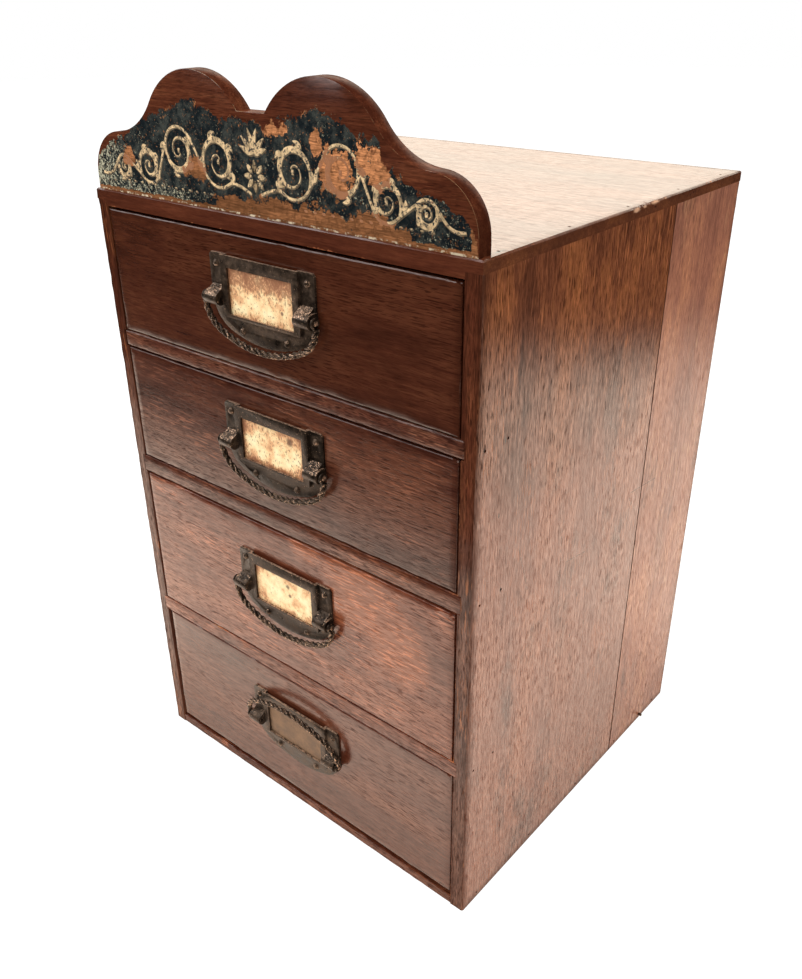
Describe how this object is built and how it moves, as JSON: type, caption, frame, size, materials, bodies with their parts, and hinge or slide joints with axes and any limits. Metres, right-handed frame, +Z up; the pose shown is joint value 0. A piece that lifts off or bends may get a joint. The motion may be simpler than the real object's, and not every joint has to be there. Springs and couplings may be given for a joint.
{
  "type": "tabletop drawer cabinet",
  "caption": "Upright tabletop wooden cabinet with stacked drawers, card-window label plates with rope-twist bail handles, and a shaped painted sign board on top.",
  "frame": {"origin": "centre of the carcass footprint, on the surface that the cabinet stands on", "axes": "+X to the right as the drawers face the user, +Y towards the back, +Z up"},
  "size_m": [0.3026, 0.2988, 0.5064],
  "materials": {
    "case_wood": "worn satin varnish over reddish brown hardwood",
    "front_wood": "worn satin varnish over reddish brown hardwood",
    "painted_sign": "flaking dark paint with worn gilt scrollwork on varnished wood",
    "pale_wood": "unfinished softwood, aged",
    "bronzed_plate": "dark bronzed iron, rubbed on raised edges",
    "bronzed_bail": "dark bronzed iron, rubbed on the high strands",
    "worn_pins": "rubbed round heads",
    "old_iron": "rusted",
    "foxed_card": "foxed and yellowed",
    "plain_card": "browned"
  },
  "bodies": {
    "cabinet": {"back_board_lower": "pale_wood", "back_board_upper": "pale_wood", "bottom_board": "case_wood", "carcass_nails": "old_iron", "rail_lower": "case_wood", "rail_middle": "case_wood", "rail_upper": "case_wood", "runner_lower_left": "pale_wood", "runner_lower_right": "pale_wood", "runner_middle_left": "pale_wood", "runner_middle_right": "pale_wood", "runner_upper_left": "pale_wood", "runner_upper_right": "pale_wood", "side_left_front_plank": "case_wood", "side_left_rear_plank": "case_wood", "side_right_front_plank": "case_wood", "side_right_rear_plank": "case_wood", "sign_board": "painted_sign", "sign_dowels": "pale_wood", "top_board": "case_wood"},
    "drawer_1": {"drawer_1_back": "pale_wood", "drawer_1_bottom": "pale_wood", "drawer_1_front": "front_wood", "drawer_1_nails": "old_iron", "drawer_1_side_left": "pale_wood", "drawer_1_side_right": "pale_wood", "label_plate_1": "bronzed_plate", "card_1": "foxed_card", "plate_pins_1": "worn_pins"},
    "bail_1": {"bail_1": "bronzed_bail"},
    "drawer_2": {"drawer_2_back": "pale_wood", "drawer_2_bottom": "pale_wood", "drawer_2_front": "front_wood", "drawer_2_nails": "old_iron", "drawer_2_side_left": "pale_wood", "drawer_2_side_right": "pale_wood", "label_plate_2": "bronzed_plate", "card_2": "foxed_card", "plate_pins_2": "worn_pins"},
    "bail_2": {"bail_2": "bronzed_bail"},
    "drawer_3": {"drawer_3_back": "pale_wood", "drawer_3_bottom": "pale_wood", "drawer_3_front": "front_wood", "drawer_3_nails": "old_iron", "drawer_3_side_left": "pale_wood", "drawer_3_side_right": "pale_wood", "label_plate_3": "bronzed_plate", "card_3": "foxed_card", "plate_pins_3": "worn_pins"},
    "bail_3": {"bail_3": "bronzed_bail"},
    "drawer_4": {"drawer_4_back": "pale_wood", "drawer_4_bottom": "pale_wood", "drawer_4_front": "front_wood", "drawer_4_nails": "old_iron", "drawer_4_side_left": "pale_wood", "drawer_4_side_right": "pale_wood", "label_plate_4": "bronzed_plate", "card_4": "plain_card", "plate_pins_4": "worn_pins"},
    "bail_4": {"bail_4": "bronzed_bail"}
  },
  "joints": [
    {"name": "drawer_1_slide", "type": "slide", "parent": "cabinet", "child": "drawer_1", "axis": [0, -1, 0], "range_m": [0, 0.23]},
    {"name": "bail_1_pivot", "type": "hinge", "parent": "drawer_1", "child": "bail_1", "pos_m": [0.0005, -0.1488, 0.385], "axis": [-1, 0, 0], "range_deg": [0, 176]},
    {"name": "drawer_2_slide", "type": "slide", "parent": "cabinet", "child": "drawer_2", "axis": [0, -1, 0], "range_m": [0, 0.23]},
    {"name": "bail_2_pivot", "type": "hinge", "parent": "drawer_2", "child": "bail_2", "pos_m": [0.0005, -0.1488, 0.292], "axis": [-1, 0, 0], "range_deg": [0, 176]},
    {"name": "drawer_3_slide", "type": "slide", "parent": "cabinet", "child": "drawer_3", "axis": [0, -1, 0], "range_m": [0, 0.23]},
    {"name": "bail_3_pivot", "type": "hinge", "parent": "drawer_3", "child": "bail_3", "pos_m": [0.0005, -0.1488, 0.1855], "axis": [-1, 0, 0], "range_deg": [0, 176]},
    {"name": "drawer_4_slide", "type": "slide", "parent": "cabinet", "child": "drawer_4", "axis": [0, -1, 0], "range_m": [0, 0.23]},
    {"name": "bail_4_pivot", "type": "hinge", "parent": "drawer_4", "child": "bail_4", "pos_m": [0.0005, -0.1488, 0.0665], "axis": [-1, 0, 0], "range_deg": [-172, 4]}
  ]
}
